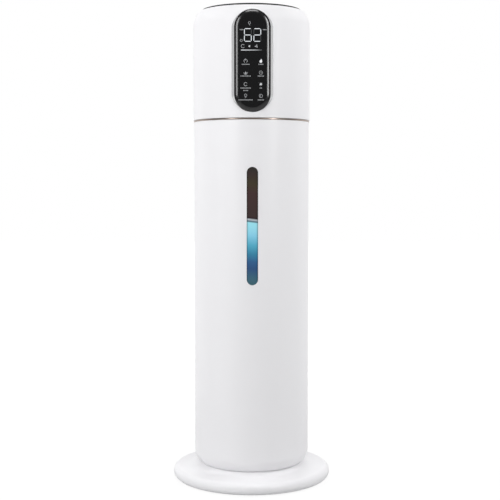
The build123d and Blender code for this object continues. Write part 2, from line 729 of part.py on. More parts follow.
NODES = (
    foot_base, foot_cover, rubber_feet, cover_screws, tank_screws,
    tank_shell, window_lens, window_seal, tank_trim_ring,
    head_shell, chassis, head_seal, head_screws, top_trim_ring, top_cover,
    mist_duct, duct_seal, mist_nozzle,
    panel_bezel, panel_lens, touch_board, touch_pads, display_module, board_screws,
    main_board, main_board_parts, heat_sink, night_light_board, night_light_lens, uv_lamp,
    dc_jack, dc_jack_nut,
    fan_frame, fan_stator, fan_screws, fan_rotor, fan_shaft,
    inlet_grille, filter_frame, air_filter, humidity_sensor,
    guide_rods, guide_foot, rod_nuts, rod_collars, lead_grommet, float_lead,
    float_hull, float_lid, float_bushes, splash_guard, atomizer_can, atomizer_board,
    atomizer_disc, disc_seal, disc_clamp, clamp_screws, water_sensor_pins, lead_clamp,
)

os.makedirs("parts", exist_ok=True)
for node in NODES:
    export_step(node(), f"parts/{node.__name__}.step")
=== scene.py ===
import json
from math import acos, ceil, cos, pi, radians, sin, tan

import bmesh
import bpy
from mathutils import Matrix, Vector


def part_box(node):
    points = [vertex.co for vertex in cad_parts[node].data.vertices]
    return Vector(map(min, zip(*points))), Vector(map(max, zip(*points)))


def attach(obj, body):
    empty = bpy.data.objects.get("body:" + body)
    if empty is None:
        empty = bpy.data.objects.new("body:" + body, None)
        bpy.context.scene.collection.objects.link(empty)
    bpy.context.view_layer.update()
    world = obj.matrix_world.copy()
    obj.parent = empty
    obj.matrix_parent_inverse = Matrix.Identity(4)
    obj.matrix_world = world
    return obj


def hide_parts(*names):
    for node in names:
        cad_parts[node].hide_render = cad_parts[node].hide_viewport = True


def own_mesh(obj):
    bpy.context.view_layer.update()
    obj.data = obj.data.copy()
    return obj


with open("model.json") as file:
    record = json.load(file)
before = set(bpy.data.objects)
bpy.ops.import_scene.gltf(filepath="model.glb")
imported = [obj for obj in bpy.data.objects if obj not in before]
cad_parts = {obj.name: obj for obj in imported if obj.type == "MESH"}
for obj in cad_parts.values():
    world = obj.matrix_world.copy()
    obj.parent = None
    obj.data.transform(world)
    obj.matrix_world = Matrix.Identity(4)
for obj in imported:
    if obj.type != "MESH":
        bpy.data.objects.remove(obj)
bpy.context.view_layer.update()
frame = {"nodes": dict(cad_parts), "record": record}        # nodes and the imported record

MM = 0.001
WELD = 0.002 * MM
TURN_STEPS = 160
ARC_STEP = radians(8)

# Sizes read from the frame, in metres
FOOT_LOW, FOOT_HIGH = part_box("foot_base")
COVER_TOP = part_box("foot_cover")[1].z
TANK_LOW, TANK_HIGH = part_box("tank_shell")
SEAM_LOW, SEAM_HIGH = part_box("tank_trim_ring")
WINDOW_LOW, WINDOW_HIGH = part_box("window_lens")
HEAD_LOW, HEAD_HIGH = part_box("head_shell")
RING_LOW, RING_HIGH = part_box("top_trim_ring")
DISH_LOW, DISH_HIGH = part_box("top_cover")
NOZZLE_LOW, NOZZLE_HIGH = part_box("mist_nozzle")
GLASS_LOW, GLASS_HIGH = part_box("panel_lens")
GRILLE_LOW, GRILLE_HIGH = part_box("inlet_grille")
JACK_LOW, JACK_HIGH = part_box("dc_jack")
LEAD_LOW, LEAD_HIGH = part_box("float_lead")

FOOT_R = FOOT_HIGH.x
TANK_R = TANK_HIGH.x
TANK_WALL = 3 * MM
TANK_FLOOR = 5 * MM
TANK_ROUND = 22 * MM
HEAD_R = HEAD_HIGH.x
HEAD_WALL = 3 * MM
PANEL_Z = (GLASS_LOW.z + GLASS_HIGH.z) / 2
PANEL_W = GLASS_HIGH.x - GLASS_LOW.x
PANEL_H = GLASS_HIGH.z - GLASS_LOW.z
PANEL_ARC_STEPS = 28
NOZZLE_STEPS = 96
GRILLE_Z = (GRILLE_LOW.z + GRILLE_HIGH.z) / 2
JACK_Z = (JACK_LOW.z + JACK_HIGH.z) / 2
JACK_SEAT = 80.3 * MM

# Depths that cutting tools for the walls run between, on either side of the axis
CUT_INSIDE = 60 * MM
CUT_OUTSIDE = HEAD_R + 5 * MM


# Ways of working

def rest_tools():
    """Goes back to object mode and lets go of everything that is selected."""
    if bpy.context.mode != "OBJECT":
        bpy.ops.object.mode_set(mode="OBJECT")
    bpy.ops.object.select_all(action="DESELECT")


def take(piece):
    """Selects one piece alone and makes it the active one."""
    rest_tools()
    piece.select_set(True)
    bpy.context.view_layer.objects.active = piece
    return piece


def edit(piece):
    """Opens one piece in edit mode."""
    take(piece)
    bpy.ops.object.mode_set(mode="EDIT")


def pick(kind, test):
    """In edit mode, selects only the vertices, edges or faces that pass a test."""
    bpy.ops.mesh.select_mode(type=kind)
    bpy.ops.mesh.select_all(action="DESELECT")
    mesh = bmesh.from_edit_mesh(bpy.context.object.data)
    for part in {"VERT": mesh.verts, "EDGE": mesh.edges, "FACE": mesh.faces}[kind]:
        part.select_set(test(part))
    mesh.select_flush_mode()
    bmesh.update_edit_mesh(bpy.context.object.data)


def close_up():
    """Merges doubles, points the faces outwards and leaves edit mode."""
    bpy.ops.mesh.select_all(action="SELECT")
    bpy.ops.mesh.remove_doubles(threshold=WELD)
    bpy.ops.mesh.normals_make_consistent(inside=False)
    bpy.ops.object.mode_set(mode="OBJECT")


def settle(piece):
    """Applies a piece's place, turn and scale to its mesh."""
    take(piece)
    bpy.ops.object.transform_apply(location=True, rotation=True, scale=True)
    return piece


def round_corner(points, index, radius):
    """Rounds one corner of a drawn section with an arc of the given radius."""
    here = points[index]
    before = points[index - 1] - here
    after = points[(index + 1) % len(points)] - here
    turn_angle = pi - before.angle(after)
    pick("VERT", lambda v: (v.co - here).length < WELD)
    bpy.ops.mesh.bevel(
        offset_type="ABSOLUTE", offset=radius * tan(turn_angle / 2), affect="VERTICES",
        segments=max(2, ceil(turn_angle / ARC_STEP)), clamp_overlap=False,
    )


def turn(name, corners, closed=True, steps=TURN_STEPS):
    """Draws a half section from corner to corner, rounds its corners and spins it about the axis.

    A corner is (radius, height) or (radius, height, rounding). An open section ends on the axis.
    """
    rest_tools()
    bpy.ops.mesh.primitive_plane_add(size=MM)
    piece = bpy.context.object
    piece.name = piece.data.name = name
    bpy.ops.object.mode_set(mode="EDIT")
    bpy.ops.mesh.select_mode(type="VERT")
    bpy.ops.mesh.select_all(action="SELECT")
    bpy.ops.mesh.merge(type="CENTER")
    points = [Vector((corner[0], 0, corner[1])) for corner in corners]
    bpy.ops.transform.translate(value=points[0])
    for last, point in zip(points, points[1:]):
        bpy.ops.mesh.extrude_vertices_move(TRANSFORM_OT_translate={"value": point - last})
    if closed:
        ends = (points[0], points[-1])
        pick("VERT", lambda v: min((v.co - end).length for end in ends) < WELD)
        bpy.ops.mesh.edge_face_add()
    for index, corner in enumerate(corners):
        if len(corner) == 3:
            round_corner(points, index, corner[2])
    bpy.ops.mesh.select_all(action="SELECT")
    bpy.ops.mesh.spin(steps=steps, angle=2 * pi, center=(0, 0, 0), axis=(0, 0, 1))
    close_up()
    return piece


def upright_plate(name, width, height, corner, front, back, z=0.0, arc_steps=14):
    """Plate with round corners that faces the front, centred on the axis."""
    rest_tools()
    bpy.ops.mesh.primitive_plane_add(size=1, location=(0, front, z), rotation=(pi / 2, 0, 0))
    piece = bpy.context.object
    piece.name = piece.data.name = name
    piece.scale = (width, height, 1)
    settle(piece)
    edit(piece)
    bpy.ops.mesh.select_all(action="SELECT")
    bpy.ops.mesh.bevel(offset_type="ABSOLUTE", offset=corner, affect="VERTICES", segments=arc_steps)
    bpy.ops.mesh.select_all(action="SELECT")
    bpy.ops.mesh.remove_doubles(threshold=WELD)
    bpy.ops.mesh.extrude_region_move(TRANSFORM_OT_translate={"value": (0, back - front, 0)})
    close_up()
    return piece


def saw(piece, tool, operation="DIFFERENCE"):
    """Cuts a piece with a tool, and puts the tool away."""
    cut = piece.modifiers.new("saw", "BOOLEAN")
    cut.operation = operation
    cut.solver = "EXACT"
    cut.object = tool
    take(piece)
    bpy.ops.object.modifier_apply(modifier=cut.name)
    bpy.data.objects.remove(tool)
    return piece


def join(piece, others):
    """Makes other pieces part of one piece."""
    take(piece)
    for other in others:
        other.select_set(True)
    bpy.ops.object.join()
    return piece


def copies(piece, places):
    """The piece at the first place and a copy of it at each further one, joined together."""
    twins = []
    for place in places[1:]:
        twin = piece.copy()
        twin.data = piece.data.copy()
        twin.data.transform(Matrix.Translation(place))
        bpy.context.collection.objects.link(twin)
        twins.append(twin)
    piece.data.transform(Matrix.Translation(places[0]))
    return join(piece, twins)


def ease(piece, width, steps=2, limit=radians(50)):
    """Breaks the sharp edges of a piece."""
    bevel = piece.modifiers.new("ease", "BEVEL")
    bevel.width = width
    bevel.segments = steps
    bevel.limit_method = "ANGLE"
    bevel.angle_limit = limit
    take(piece)
    bpy.ops.object.modifier_apply(modifier=bevel.name)
    return piece


def hand_over(piece, body, slot, *nodes, finish=None, sharp=38):
    """Smooths a finished piece, dresses it and sets it on its body in place of CAD nodes."""
    take(piece)
    bpy.ops.object.shade_smooth_by_angle(angle=radians(sharp))
    piece.data.materials.clear()
    piece.data.materials.append(finish or FINISHES[slot])
    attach(piece, body)
    if nodes:
        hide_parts(*nodes)
    return piece


# Finishes

def new_group(name, inputs, outputs):
    """An empty shader group with named sockets."""
    group = bpy.data.node_groups.new(name, "ShaderNodeTree")
    for socket, kind, value in inputs:
        group.interface.new_socket(socket, in_out="INPUT", socket_type=kind).default_value = value
    for socket, kind in outputs:
        group.interface.new_socket(socket, in_out="OUTPUT", socket_type=kind)
    return group, group.nodes.new("NodeGroupInput"), group.nodes.new("NodeGroupOutput")


def feed(tree, socket, value):
    """Sets a socket to a number, or links another socket to it."""
    if isinstance(value, (int, float)):
        socket.default_value = value
    else:
        tree.links.new(value, socket)


def add_range(tree, low, high):
    """A map range node from 0..1 to low..high; each end is a number or a socket."""
    spread = tree.nodes.new("ShaderNodeMapRange")
    feed(tree, spread.inputs["To Min"], low)
    feed(tree, spread.inputs["To Max"], high)
    return spread


def add_math(tree, operation, first, second):
    """A math node on two numbers or sockets."""
    node = tree.nodes.new("ShaderNodeMath")
    node.operation = operation
    feed(tree, node.inputs[0], first)
    feed(tree, node.inputs[1], second)
    return node.outputs["Value"]


def add_scale(tree, colour, share):
    """A colour socket made lighter or darker by a share."""
    node = tree.nodes.new("ShaderNodeVectorMath")
    node.operation = "SCALE"
    tree.links.new(colour, node.inputs[0])
    tree.links.new(share, node.inputs["Scale"])
    return node.outputs["Vector"]


def surface_grain():
    """Shared look of a moulded, plated or painted skin: cloudy tone, uneven gloss and fine grain."""
    cloud_scale, cloud_detail, grain_detail = 14, 3, 2
    group, start, end = new_group(
        "surface grain",
        [
            ("Colour", "NodeSocketColor", (0.8, 0.8, 0.8, 1)), ("Tone", "NodeSocketFloat", 0.01),
            ("Gloss", "NodeSocketFloat", 0.3), ("Gloss spread", "NodeSocketFloat", 0.05),
            ("Grain scale", "NodeSocketFloat", 900.0), ("Stretch", "NodeSocketVector", (1, 1, 1)),
        ],
        [("Colour", "NodeSocketColor"), ("Roughness", "NodeSocketFloat"), ("Height", "NodeSocketFloat")],
    )
    link = group.links.new
    place = group.nodes.new("ShaderNodeTexCoord")
    stretch = group.nodes.new("ShaderNodeMapping")
    link(place.outputs["Object"], stretch.inputs["Vector"])
    link(start.outputs["Stretch"], stretch.inputs["Scale"])
    cloud = group.nodes.new("ShaderNodeTexNoise")
    cloud.inputs["Scale"].default_value = cloud_scale
    cloud.inputs["Detail"].default_value = cloud_detail
    link(place.outputs["Object"], cloud.inputs["Vector"])
    grain = group.nodes.new("ShaderNodeTexNoise")
    grain.inputs["Detail"].default_value = grain_detail
    link(stretch.outputs["Vector"], grain.inputs["Vector"])
    link(start.outputs["Grain scale"], grain.inputs["Scale"])

    def spread_about(middle, spread):
        return add_range(
            group, add_math(group, "SUBTRACT", middle, spread), add_math(group, "ADD", middle, spread),
        )

    shade = spread_about(1.0, start.outputs["Tone"])
    link(cloud.outputs["Fac"], shade.inputs["Value"])
    rough = spread_about(start.outputs["Gloss"], start.outputs["Gloss spread"])
    both = add_math(group, "ADD", cloud.outputs["Fac"], grain.outputs["Fac"])
    link(add_math(group, "DIVIDE", both, 2.0), rough.inputs["Value"])
    tint = add_scale(group, start.outputs["Colour"], shade.outputs["Result"])
    link(tint, end.inputs["Colour"])
    link(rough.outputs["Result"], end.inputs["Roughness"])
    link(grain.outputs["Fac"], end.inputs["Height"])
    return group


GRAIN = surface_grain()
GRAIN_DEPTH = 0.1 * MM


def skin(
    name, colour, gloss, tone=0.01, spread=0.04, scale=900.0, bump=0.02, stretch=(1, 1, 1), **sockets,
):
    """A finish on the shared grain, with plain values for the shader's other sockets."""
    finish = bpy.data.materials.new(name)
    finish.use_nodes = True
    tree = finish.node_tree
    shader = tree.nodes["Principled BSDF"]
    grain = tree.nodes.new("ShaderNodeGroup")
    grain.node_tree = GRAIN
    for socket, value in (
        ("Colour", (*colour, 1)), ("Tone", tone), ("Gloss", gloss), ("Gloss spread", spread),
        ("Grain scale", scale), ("Stretch", stretch),
    ):
        grain.inputs[socket].default_value = value
    relief = tree.nodes.new("ShaderNodeBump")
    relief.inputs["Strength"].default_value = bump
    relief.inputs["Distance"].default_value = GRAIN_DEPTH
    tree.links.new(grain.outputs["Colour"], shader.inputs["Base Color"])
    tree.links.new(grain.outputs["Roughness"], shader.inputs["Roughness"])
    tree.links.new(grain.outputs["Height"], relief.inputs["Height"])
    tree.links.new(relief.outputs["Normal"], shader.inputs["Normal"])
    for socket, value in sockets.items():
        shader.inputs[socket.replace("_", " ")].default_value = value
    return finish


def add_ramp(tree, socket, stops):
    """A colour ramp on a value, with its stops from low to high."""
    ramp = tree.nodes.new("ShaderNodeValToRGB")
    marks = ramp.color_ramp.elements
    while len(marks) < len(stops):
        marks.new(0.5)
    for mark, (position, colour) in zip(marks, stops):
        mark.position = position
        mark.color = (*colour, 1)
    tree.links.new(socket, ramp.inputs["Fac"])
    return ramp.outputs["Color"]


def share_along(tree, axis, low, high):
    """0 to 1 between two places along an axis of the object."""
    place = tree.nodes.new("ShaderNodeTexCoord")
    split = tree.nodes.new("ShaderNodeSeparateXYZ")
    tree.links.new(place.outputs["Object"], split.inputs["Vector"])
    level = tree.nodes.new("ShaderNodeMapRange")
    level.inputs["From Min"].default_value = low
    level.inputs["From Max"].default_value = high
    tree.links.new(split.outputs[axis], level.inputs["Value"])
    return level.outputs["Result"]


# Share of the window's height and colour there: water painted as lit and glowing, brightest under its
# surface and darker deeper down, then its surface as a painted highlight between dark lines, then smoked
# plastic
WINDOW_GLOW_STOPS = (
    (0.00, (0.050, 0.115, 0.140)),
    (0.06, (0.045, 0.120, 0.170)),
    (0.14, (0.030, 0.078, 0.190)),
    (0.20, (0.033, 0.105, 0.240)),
    (0.26, (0.040, 0.200, 0.330)),
    (0.34, (0.085, 0.370, 0.520)),
    (0.42, (0.220, 0.560, 0.720)),
    (0.50, (0.300, 0.670, 0.770)),
    (0.530, (0.310, 0.690, 0.790)),
    (0.536, (0.070, 0.140, 0.170)),
    (0.545, (0.130, 0.200, 0.240)),
    (0.552, (0.480, 0.520, 0.560)),
    (0.560, (0.280, 0.300, 0.320)),
    (0.566, (0.022, 0.014, 0.015)),
    (0.580, (0.043, 0.028, 0.027)),
    (0.780, (0.052, 0.028, 0.027)),
    (0.860, (0.048, 0.038, 0.022)),
    (0.940, (0.038, 0.026, 0.023)),
    (1.00, (0.028, 0.026, 0.022)),
)


def level_window_finish():
    """Smoked window with painted light: water painted lit and glowing up to a slanting line, and painted
    shade on a darker rim down both sides.
    """
    margin, half_width, slope = 3 * MM, 7.6 * MM, 0.12
    painted_shade_start, painted_shade_end, painted_side_shade = 0.34, 0.5, 0.45
    # Painted glow: the window emits its painted colour, standing in for water lit from inside the tank
    glow = 0.15
    finish = skin("smoked level window with painted glow", (0.1, 0.1, 0.1), 0.10, spread=0.03, bump=0.0)
    tree = finish.node_tree
    shader = tree.nodes["Principled BSDF"]
    length = WINDOW_HIGH.z - WINDOW_LOW.z - 2 * margin
    height = share_along(tree, "Z", WINDOW_LOW.z + margin, WINDOW_HIGH.z - margin)
    across = share_along(tree, "X", -half_width, half_width)
    off_middle = add_math(tree, "SUBTRACT", across, 0.5)
    slant = add_math(tree, "MULTIPLY", off_middle, slope * 2 * half_width / length)
    water = add_ramp(tree, add_math(tree, "ADD", height, slant), WINDOW_GLOW_STOPS)
    # Painted shade: darkens the window's colour towards its left and right sides
    edge = add_range(tree, 1.0, painted_side_shade)
    edge.interpolation_type = "SMOOTHSTEP"
    edge.inputs["From Min"].default_value = painted_shade_start
    edge.inputs["From Max"].default_value = painted_shade_end
    tree.links.new(add_math(tree, "ABSOLUTE", off_middle, 0.0), edge.inputs["Value"])
    tint = add_scale(tree, water, edge.outputs["Result"])
    tree.links.new(tint, shader.inputs["Base Color"])
    tree.links.new(tint, shader.inputs["Emission Color"])
    shader.inputs["Emission Strength"].default_value = glow
    return finish


# Share of a fading mark's length, and share of its brightness there
FADE_STOPS = ((0, 1), (0.62, 0.65), (0.9, 0.03))
UNLIT_SHARE = 0.15


def lit_finish(name, colour, strength, fade=None):
    """A lit symbol on the glass, evenly bright or fading along X between two places."""
    unlit = tuple(UNLIT_SHARE * part for part in colour)
    finish = skin(name, unlit, 0.4, tone=0.04, bump=0.0)
    tree = finish.node_tree
    shader = tree.nodes["Principled BSDF"]
    shader.inputs["Emission Color"].default_value = (*colour, 1)
    shader.inputs["Emission Strength"].default_value = strength
    if fade:
        stops = [(place, tuple(share * part for part in colour)) for place, share in FADE_STOPS]
        glow = add_ramp(tree, share_along(tree, "X", *fade), stops)
        tree.links.new(glow, shader.inputs["Emission Color"])
    return finish


FINISHES = {
    "gloss_white": skin("satin white moulding", (0.852, 0.847, 0.862), 0.38, tone=0.006, IOR=1.47),
    "matte_white": skin("matte white moulding", (0.80, 0.80, 0.79), 0.55, scale=1400.0, bump=0.06),
    "dark_trim": skin(
        "dark plated ring", (0.43, 0.355, 0.31), 0.30, tone=0.06, scale=300.0, Metallic=1.0,
    ),
    "silver_bezel": skin(
        "bright plated bezel", (0.61, 0.615, 0.62), 0.18, tone=0.03, scale=500.0, Metallic=1.0,
    ),
    "black_glass": skin(
        "black panel glass", (0.001, 0.001, 0.0012), 0.18, spread=0.03, scale=60.0, bump=0.0, IOR=1.7,
    ),
    "black_plastic": skin(
        "matte black moulding", (0.022, 0.022, 0.023), 0.5, tone=0.06, scale=1200.0, bump=0.08,
    ),
    "smoke_window": level_window_finish(),
    "clear_lens": skin("frosted light lens", (0.80, 0.86, 0.90), 0.30, Transmission_Weight=0.6),
    "rubber": skin("grey rubber", (0.10, 0.10, 0.105), 0.75, tone=0.08, scale=1500.0, bump=0.15),
    "lead_sheath": skin("white lead sheath", (0.74, 0.74, 0.72), 0.5, tone=0.03, bump=0.05),
    "circuit_board": skin(
        "green solder mask", (0.02, 0.13, 0.055), 0.35, tone=0.25, scale=220.0, bump=0.2,
    ),
    "foam": skin("black foam", (0.05, 0.05, 0.052), 0.95, tone=0.2, scale=700.0, bump=0.8),
    "steel": skin(
        "stainless steel", (0.56, 0.56, 0.55), 0.28, tone=0.04, bump=0.004, stretch=(1, 1, 0.04),
        Metallic=1.0,
    ),
    "heat_sink_metal": skin(
        "extruded aluminium", (0.68, 0.69, 0.70), 0.4, stretch=(1, 1, 0.05), Metallic=1.0,
    ),
    "copper_winding": skin(
        "copper winding", (0.60, 0.25, 0.10), 0.35, tone=0.15, stretch=(1, 1, 8), Metallic=1.0,
    ),
}
LIT = {
    "digits": lit_finish("lit digits", (0.92, 0.96, 1.0), 0.85),
    "marks": lit_finish("lit key symbols", (0.95, 0.97, 1.0), 0.80),
    "faint": lit_finish("faint key symbols", (0.95, 0.97, 1.0), 0.26),
    "labels": lit_finish("dim label dashes", (0.95, 0.97, 1.0), 0.19),
    "unlit": lit_finish("unlit segments", (0.25, 0.25, 0.26), 0.08),
}


def dress_cad_nodes():
    """Gives every node that still shows the finish of its slot."""
    for part in frame["record"]["subparts"]:
        mesh = frame["nodes"][part["node"]].data
        mesh.materials.clear()
        mesh.materials.append(FINISHES[part["material_slot"]])


# Foot

def round_foot():
    """Low domed foot, whose raised collar cups the round bottom edge of the tank."""
    seat, collar, seat_gap = TANK_LOW.z, FOOT_HIGH.z, 0.03 * MM
    flat = TANK_R + seat_gap - TANK_ROUND
    lean = acos(1 - (collar - seat) / TANK_ROUND)
    bend, crest = flat + TANK_ROUND * tan(lean / 2), flat + TANK_ROUND * sin(lean)
    collar_edge, fall, fall_z, fall_round = 72.6 * MM, 84 * MM, 19.2 * MM, 45 * MM
    edge_z, edge_round = 17.4 * MM, 7.6 * MM
    rim, ledge, under, rim_round = 98 * MM, 94 * MM, 16 * MM, 0.5 * MM
    foot = turn("round_foot", [
        (0, seat), (bend, seat, TANK_ROUND), (crest, collar), (collar_edge, collar),
        (fall, fall_z, fall_round), (FOOT_R, edge_z, edge_round), (FOOT_R, FOOT_LOW.z, edge_round),
        (rim, FOOT_LOW.z, rim_round), (rim, COVER_TOP), (ledge, COVER_TOP), (ledge, under), (0, under),
    ], closed=False)
    return hand_over(foot, "tank", "gloss_white", "foot_base")


def foot_pads():
    """Round rubber feet, each with a sunk middle and a ring groove."""
    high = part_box("rubber_feet")[1]
    radius, thick, edge_round = 9 * MM, high.z, 0.5 * MM
    middle, land, groove = 3 * MM, 5 * MM, 6.6 * MM
    dip, slope = 0.6 * MM, 0.4 * MM
    pad = turn("foot_pads", [
        (0, dip), (middle, dip), (middle + slope, 0), (land, 0), (land + slope, dip), (groove, dip),
        (groove + slope, 0), (radius, 0, edge_round), (radius, thick), (0, thick),
    ], closed=False, steps=48)
    offset = high.x - radius
    pads = copies(pad, [Vector((x, y, 0)) for x in (-offset, offset) for y in (-offset, offset)])
    return hand_over(pads, "tank", "rubber", "rubber_feet")


def cross_screws():
    """Screws of the foot cover, with a cross recess in each head."""
    low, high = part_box("cover_screws")
    head, shank, head_top = 3.2 * MM, 1.4 * MM, 3 * MM
    crown, crown_z, crown_round = head * 0.6, 0.8 * MM, 1 * MM
    recess = (3.6 * MM, 0.7 * MM, 1.4 * MM)
    screw = turn("foot_screws", [
        (0, low.z), (crown, low.z, crown_round), (head, low.z + crown_z), (head, head_top),
        (shank, head_top), (shank, high.z), (0, high.z),
    ], closed=False, steps=32)
    for spin in (0, pi / 2):
        rest_tools()
        bpy.ops.mesh.primitive_cube_add(size=1, location=(0, 0, low.z), rotation=(0, 0, spin))
        blade = bpy.context.object
        blade.scale = recess
        saw(screw, settle(blade))
    reach = high.x - head
    places = [Vector((reach, 0, 0)), Vector((-reach, 0, 0)), Vector((0, reach, 0)), Vector((0, -reach, 0))]
    return hand_over(copies(screw, places), "tank", "steel", "cover_screws")


# Water tank

def tank_body():
    """Tall open vessel with a round bottom edge and a slot for the level window."""
    inner, floor = TANK_R - TANK_WALL, TANK_LOW.z + TANK_FLOOR
    outer_round, inner_round = 0.8 * MM, 0.6 * MM
    tank = turn("tank_body", [
        (0, TANK_LOW.z), (TANK_R, TANK_LOW.z, TANK_ROUND), (TANK_R, TANK_HIGH.z, outer_round),
        (inner, TANK_HIGH.z, inner_round), (inner, floor, TANK_ROUND - TANK_WALL), (0, floor),
    ], closed=False)
    slot_w, slot_h = 15.2 * MM, 159 * MM
    slot_front, slot_back = -TANK_R - 5 * MM, -70 * MM
    middle = (WINDOW_LOW.z + WINDOW_HIGH.z) / 2
    saw(tank, upright_plate("slot", slot_w, slot_h, slot_w / 2, slot_front, slot_back, z=middle))
    return hand_over(tank, "tank", "gloss_white", "tank_shell")


def seam_ring():
    """Plated ring between the tank and the head."""
    inner, edge_round = TANK_R - TANK_WALL + 0.2 * MM, 0.4 * MM
    ring = turn("seam_ring", [
        (inner, SEAM_LOW.z), (SEAM_HIGH.x, SEAM_LOW.z, edge_round),
        (SEAM_HIGH.x, SEAM_HIGH.z, edge_round), (inner, SEAM_HIGH.z),
    ])
    return hand_over(ring, "tank", "dark_trim", "tank_trim_ring")


# Head

def head_casing():
    """White shell with a rounded shoulder, open for the panel, the air grille and the power inlet."""
    shoulder, ledge = HEAD_HIGH.z - 8.4 * MM, HEAD_HIGH.z - 2 * MM
    ledge_under = ledge - 2.5 * MM
    inner, lip, seat, hole, under_lip = HEAD_R - HEAD_WALL, 73.5 * MM, 70.4 * MM, 66 * MM, 73.37 * MM
    foot_round, outer_round, inner_round = 0.8 * MM, 28 * MM, 25 * MM
    lip_round, seat_round = 0.6 * MM, 0.3 * MM
    head = turn("head_casing", [
        (HEAD_R, HEAD_LOW.z, foot_round), (HEAD_R, shoulder, outer_round), (lip, HEAD_HIGH.z, lip_round),
        (seat, HEAD_HIGH.z, seat_round), (seat, ledge), (hole, ledge), (hole, ledge_under),
        (under_lip, ledge_under), (inner, shoulder - HEAD_WALL, inner_round), (inner, HEAD_LOW.z),
    ])
    panel_w, panel_h = PANEL_W - 2 * MM, PANEL_H - 2 * MM
    inlet_w, inlet_h, inlet_round = 64 * MM, 52 * MM, 6 * MM
    saw(head, upright_plate("opening", panel_w, panel_h, panel_w / 2, -CUT_OUTSIDE, -CUT_INSIDE, z=PANEL_Z))
    saw(head, upright_plate("inlet", inlet_w, inlet_h, inlet_round, CUT_INSIDE, CUT_OUTSIDE, z=GRILLE_Z))
    for name, width, depth in (("hole", 11.2 * MM, CUT_INSIDE), ("seat", 18.4 * MM, JACK_SEAT)):
        saw(head, upright_plate(name, width, width, width / 2, depth, CUT_OUTSIDE, z=JACK_Z))
    return hand_over(head, "head", "gloss_white", "head_shell")


def top_ring():
    """Dark ring round the top dish."""
    inner, outer, taper = 67.6 * MM, RING_HIGH.x, 0.2 * MM
    low, crest, crest_round = RING_LOW.z, RING_HIGH.z + 0.5 * MM, 0.3 * MM
    ring = turn("top_ring", [
        (inner, low), (outer, low), (outer - taper, crest, crest_round), (inner, crest, crest_round),
    ])
    finish = skin("dark satin ring", (0.012, 0.012, 0.013), 0.6, tone=0.06, scale=300.0, IOR=1.35)
    return hand_over(ring, "head", "dark_trim", "top_trim_ring", finish=finish)


def top_dish():
    """Shallow dish in the top of the head, with a hole for the nozzle."""
    outer, brim, brim_round = DISH_HIGH.x, 67 * MM, 4 * MM
    rim, floor, hole, hole_round = DISH_HIGH.z, 649.2 * MM, 22.8 * MM, 0.5 * MM
    under, skirt, skirt_z = rim - 1.9 * MM, 65.6 * MM, rim - 2.9 * MM
    bowl, bowl_rise, upper_round, lower_round = 38 * MM, 0.4 * MM, 30 * MM, 32 * MM
    dish = turn("top_dish", [
        (outer, under), (outer, rim), (brim, rim, brim_round), (bowl, floor + bowl_rise, upper_round),
        (hole, floor, hole_round), (hole, DISH_LOW.z), (bowl, DISH_LOW.z + bowl_rise, lower_round),
        (skirt, skirt_z), (skirt, under),
    ])
    return hand_over(dish, "head", "gloss_white", "top_cover")


def capped_barrel(name, radius, low, roof, tilt):
    """Upright barrel whose flat roof falls towards the front."""
    rest_tools()
    depth = roof - low
    middle = low + depth / 2
    bpy.ops.mesh.primitive_cylinder_add(
        vertices=NOZZLE_STEPS, radius=radius, depth=depth, location=(0, 0, middle),
    )
    barrel = bpy.context.object
    barrel.name = barrel.data.name = name
    settle(barrel)
    for vertex in barrel.data.vertices:
        if vertex.co.z > middle:
            vertex.co.z += vertex.co.y * tan(tilt)
    return barrel


def nozzle_cap():
    """Turning cap with a sloping roof and a mist slot, on a web and skirt that fit the duct."""
    tilt, radius, wall = radians(12), NOZZLE_HIGH.x, 2.4 * MM
    low, roof, roof_round, sharp_edge = 651 * MM, 661.9 * MM, 1.8 * MM, 0.6
    tool_slack, edge_ease = 1 * MM, 0.4 * MM
    cap = capped_barrel("nozzle_cap", radius, low, roof, tilt)
    edit(cap)
    rim = low + 3 * MM
    pick("EDGE", lambda e: all(v.co.z > rim for v in e.verts) and e.calc_face_angle(0) > sharp_edge)
    bpy.ops.mesh.bevel(offset=roof_round, segments=5)
    close_up()
    saw(cap, capped_barrel("hollow", radius - wall, low - tool_slack, roof - wall, tilt))
    slot_w, slot_h, slot_depth, slot_y = 34 * MM, 11 * MM, 30 * MM, -12.5 * MM
    slot = upright_plate("slot", slot_w, slot_h, slot_h / 2, 0, slot_depth)
    slot.rotation_euler = (pi / 2, 0, 0)
    slot.location = (0, slot_y, low + tool_slack)
    saw(cap, settle(slot))
    ease(cap, edge_ease)
    bore, skirt, web_r = 15.4 * MM, 17.6 * MM, radius - wall / 2
    web_low, web_high = 652.3 * MM, 654.3 * MM
    web = turn("web", [
        (bore, NOZZLE_LOW.z), (skirt, NOZZLE_LOW.z), (skirt, web_low), (web_r, web_low),
        (web_r, web_high), (bore, web_high),
    ], steps=NOZZLE_STEPS)
    return hand_over(join(cap, [web]), "nozzle", "gloss_white", "mist_nozzle")


# Control panel

def panel_frame():
    """Silver side wall of the panel, flared towards the head at its left and right."""
    front, depth, lean = GLASS_HIGH.y, 8 * MM, radians(36)
    back, flare = front + depth, depth * tan(lean)
    bezel = upright_plate(
        "panel_frame", PANEL_W, PANEL_H, PANEL_W / 2, front, back, z=PANEL_Z, arc_steps=PANEL_ARC_STEPS,
    )
    edit(bezel)
    pick("VERT", lambda v: v.co.y > back - WELD)
    bpy.ops.transform.resize(value=(1 + 2 * flare / PANEL_W, 1, 1), center_override=(0, back, PANEL_Z))
    close_up()
    return hand_over(bezel, "head", "silver_bezel", "panel_bezel")


# Lean in degrees and width of each step of the glass edge, from its rim inwards
GLASS_EDGE = [
    (lean, width * MM) for lean, width in (
        (75, 0.1), (58, 0.15), (46, 0.2), (37, 0.3), (33, 0.7), (30, 0.7), (26, 0.4),
        (22.5, 0.9), (20, 0.9), (17.5, 0.8), (13, 0.6), (8, 0.6), (4, 0.8),
    )
]


